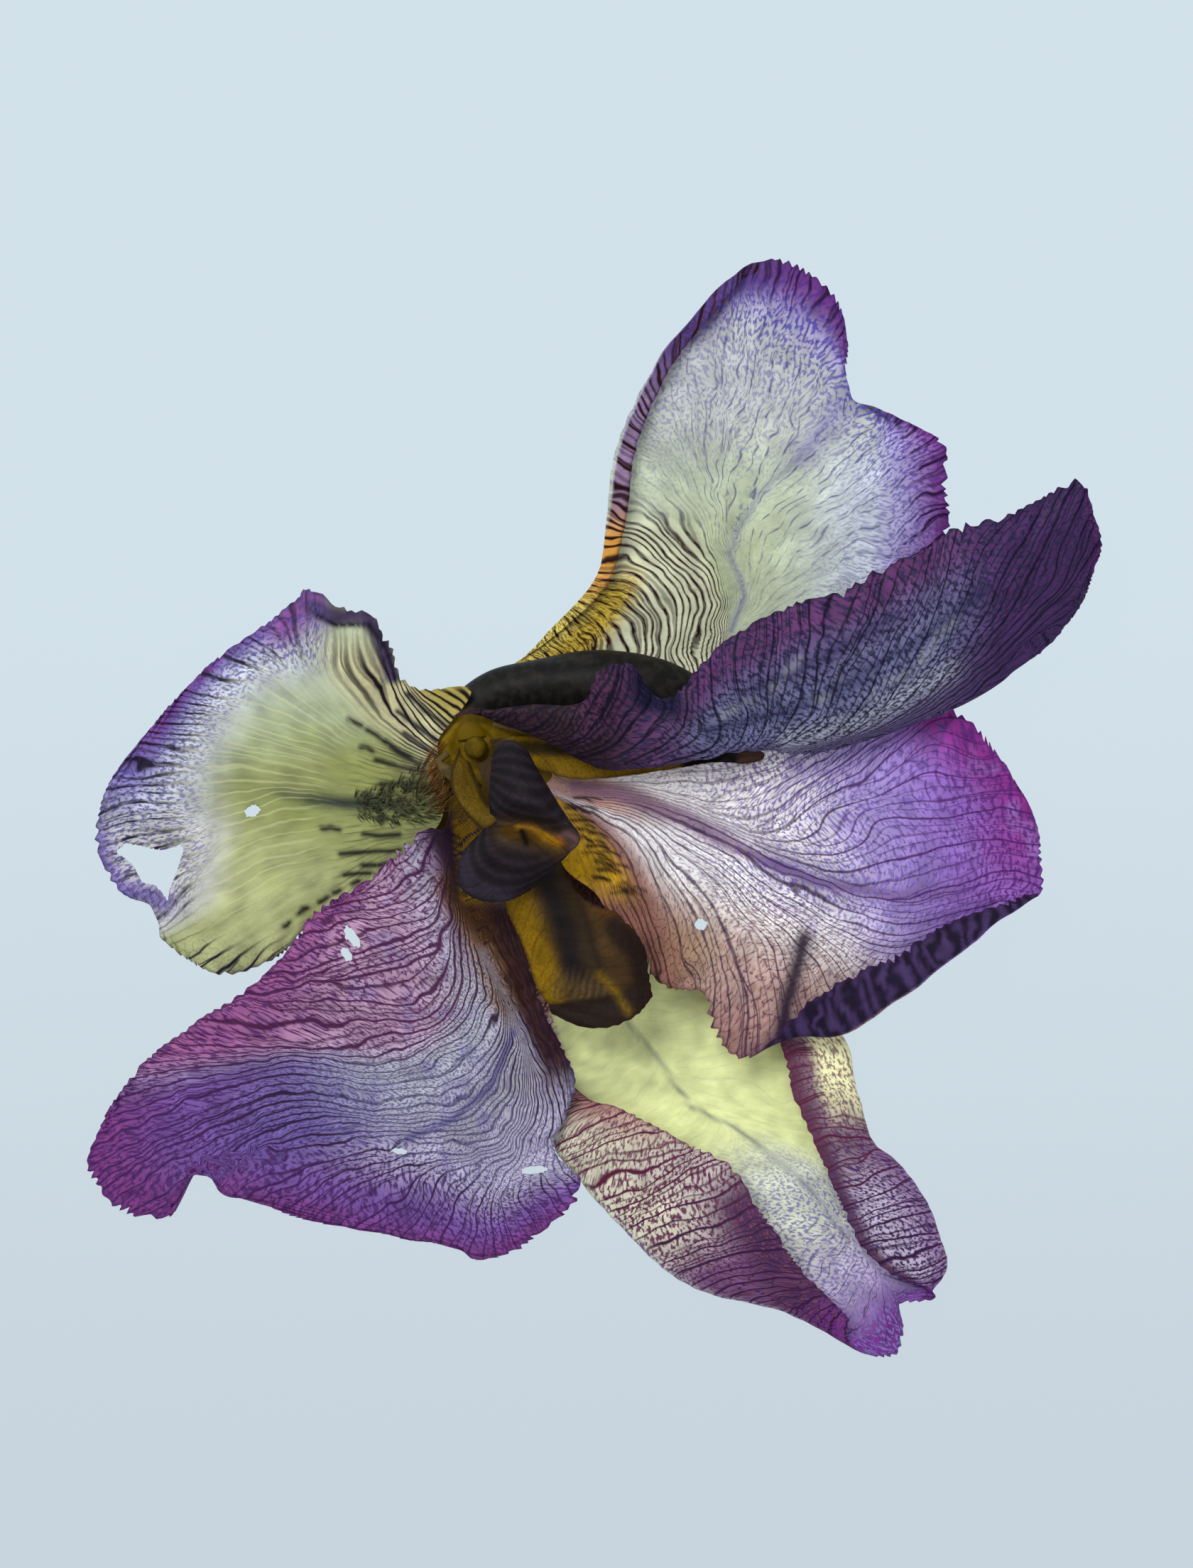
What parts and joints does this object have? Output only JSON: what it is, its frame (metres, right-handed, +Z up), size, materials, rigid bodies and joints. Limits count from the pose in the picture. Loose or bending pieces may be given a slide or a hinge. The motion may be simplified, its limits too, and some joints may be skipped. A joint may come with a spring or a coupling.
{
  "type": "iris flower",
  "caption": "Wilted bearded iris bloom lying on a surface, with ruffled falls and standards, bearded throat, style arms, stamens and ovary.",
  "frame": {"origin": "on the surface that the bloom lies on, under the middle of its box", "axes": "+Z up from the surface, +Y towards the tip of the top fall, the bloom's longest way, +X to the right as seen from above"},
  "size_m": [0.1408, 0.1544, 0.0229],
  "materials": {
    "fall_petal": "soft satin petal, cream with violet veins and rim",
    "standard_petal": "soft satin petal, violet with dark veins",
    "style_arm": "matt, brown over yellow, dried margins",
    "ovary": "waxy, dark grey-brown",
    "stamen": "dull, pollen-dusted"
  },
  "bodies": {
    "root": {"fall_left": "fall_petal", "fall_top": "fall_petal", "fall_lower": "fall_petal", "standard_over": "standard_petal", "standard_right": "standard_petal", "standard_left": "standard_petal", "style_arm_up": "style_arm", "style_arm_right": "style_arm", "style_arm_lower": "style_arm", "ovary_and_tube": "ovary", "stamen_left": "stamen", "stamen_lower": "stamen", "stamen_right": "stamen"}
  },
  "joints": []
}
